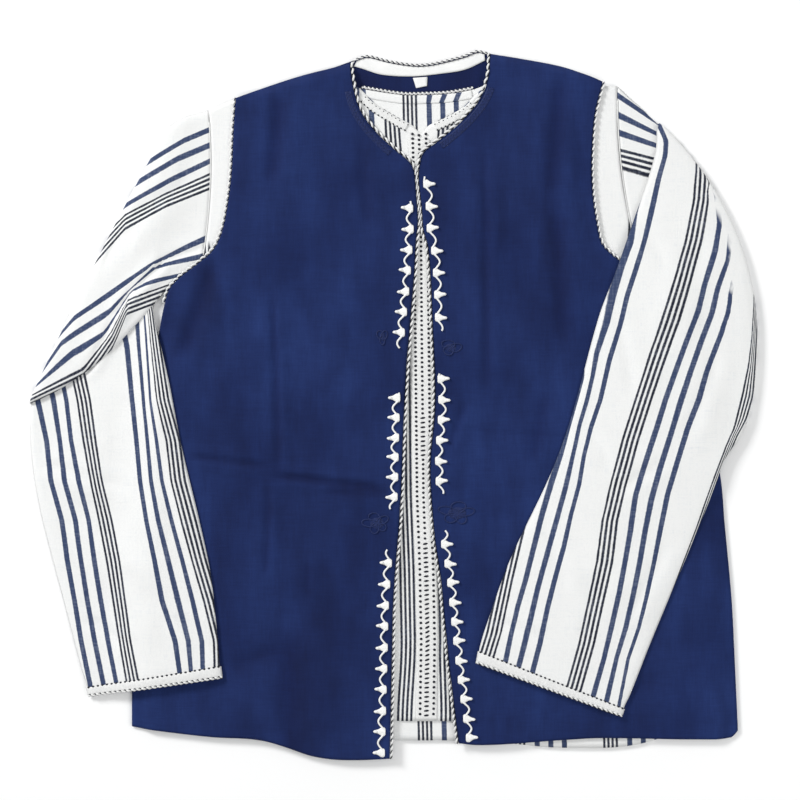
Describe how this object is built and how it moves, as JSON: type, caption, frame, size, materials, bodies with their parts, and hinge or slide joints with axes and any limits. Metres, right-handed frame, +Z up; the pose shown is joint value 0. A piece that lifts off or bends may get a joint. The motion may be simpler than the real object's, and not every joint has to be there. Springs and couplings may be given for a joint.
{
  "type": "vest and striped shirt outfit",
  "caption": "Open sleeveless vest with corded edges and tufted braid, laid flat over a long-sleeved striped shirt whose sleeves are folded in.",
  "frame": {"origin": "on the surface the outfit lies on, under the middle of its overall box", "axes": "+X to the right seen from above, +Y from the hem toward the neck, +Z up from the surface"},
  "size_m": [0.8012, 0.7816, 0.0167],
  "materials": {
    "navy_cloth": "matte plain weave with a faint slub",
    "striped_cloth": "matte thin plain weave, white with blue and thin black stripes",
    "white_lining_tape": "matte",
    "white_braid": "satin rayon braid and ribbon",
    "navy_braid": "satin rayon braid",
    "twisted_cord": "two-strand twist, black and white"
  },
  "bodies": {
    "root": {"vest_back": "navy_cloth", "vest_front_left": "navy_cloth", "vest_front_right": "navy_cloth", "vest_neck_facing": "white_lining_tape", "vest_neck_label": "white_lining_tape", "vest_edge_cord": "twisted_cord", "vest_armhole_cord_left": "twisted_cord", "vest_armhole_cord_right": "twisted_cord", "vest_neck_braid_left": "navy_braid", "vest_neck_braid_right": "navy_braid", "knot_left_upper": "navy_braid", "knot_right_upper": "navy_braid", "knot_left_lower": "navy_braid", "knot_right_lower": "navy_braid", "braid_left_1": "white_braid", "braid_left_2": "white_braid", "braid_left_3": "white_braid", "braid_right_1": "white_braid", "braid_right_2": "white_braid", "braid_right_3": "white_braid", "shirt_back": "striped_cloth", "shirt_front": "striped_cloth", "shirt_placket": "white_braid", "shirt_neck_band_left": "white_braid", "shirt_neck_band_right": "white_braid", "shirt_neck_band_back": "white_braid", "shirt_neck_cord": "twisted_cord", "sleeve_left": "striped_cloth", "sleeve_right": "striped_cloth", "sleeve_cuff_left": "white_braid", "sleeve_cuff_right": "white_braid"}
  },
  "joints": []
}
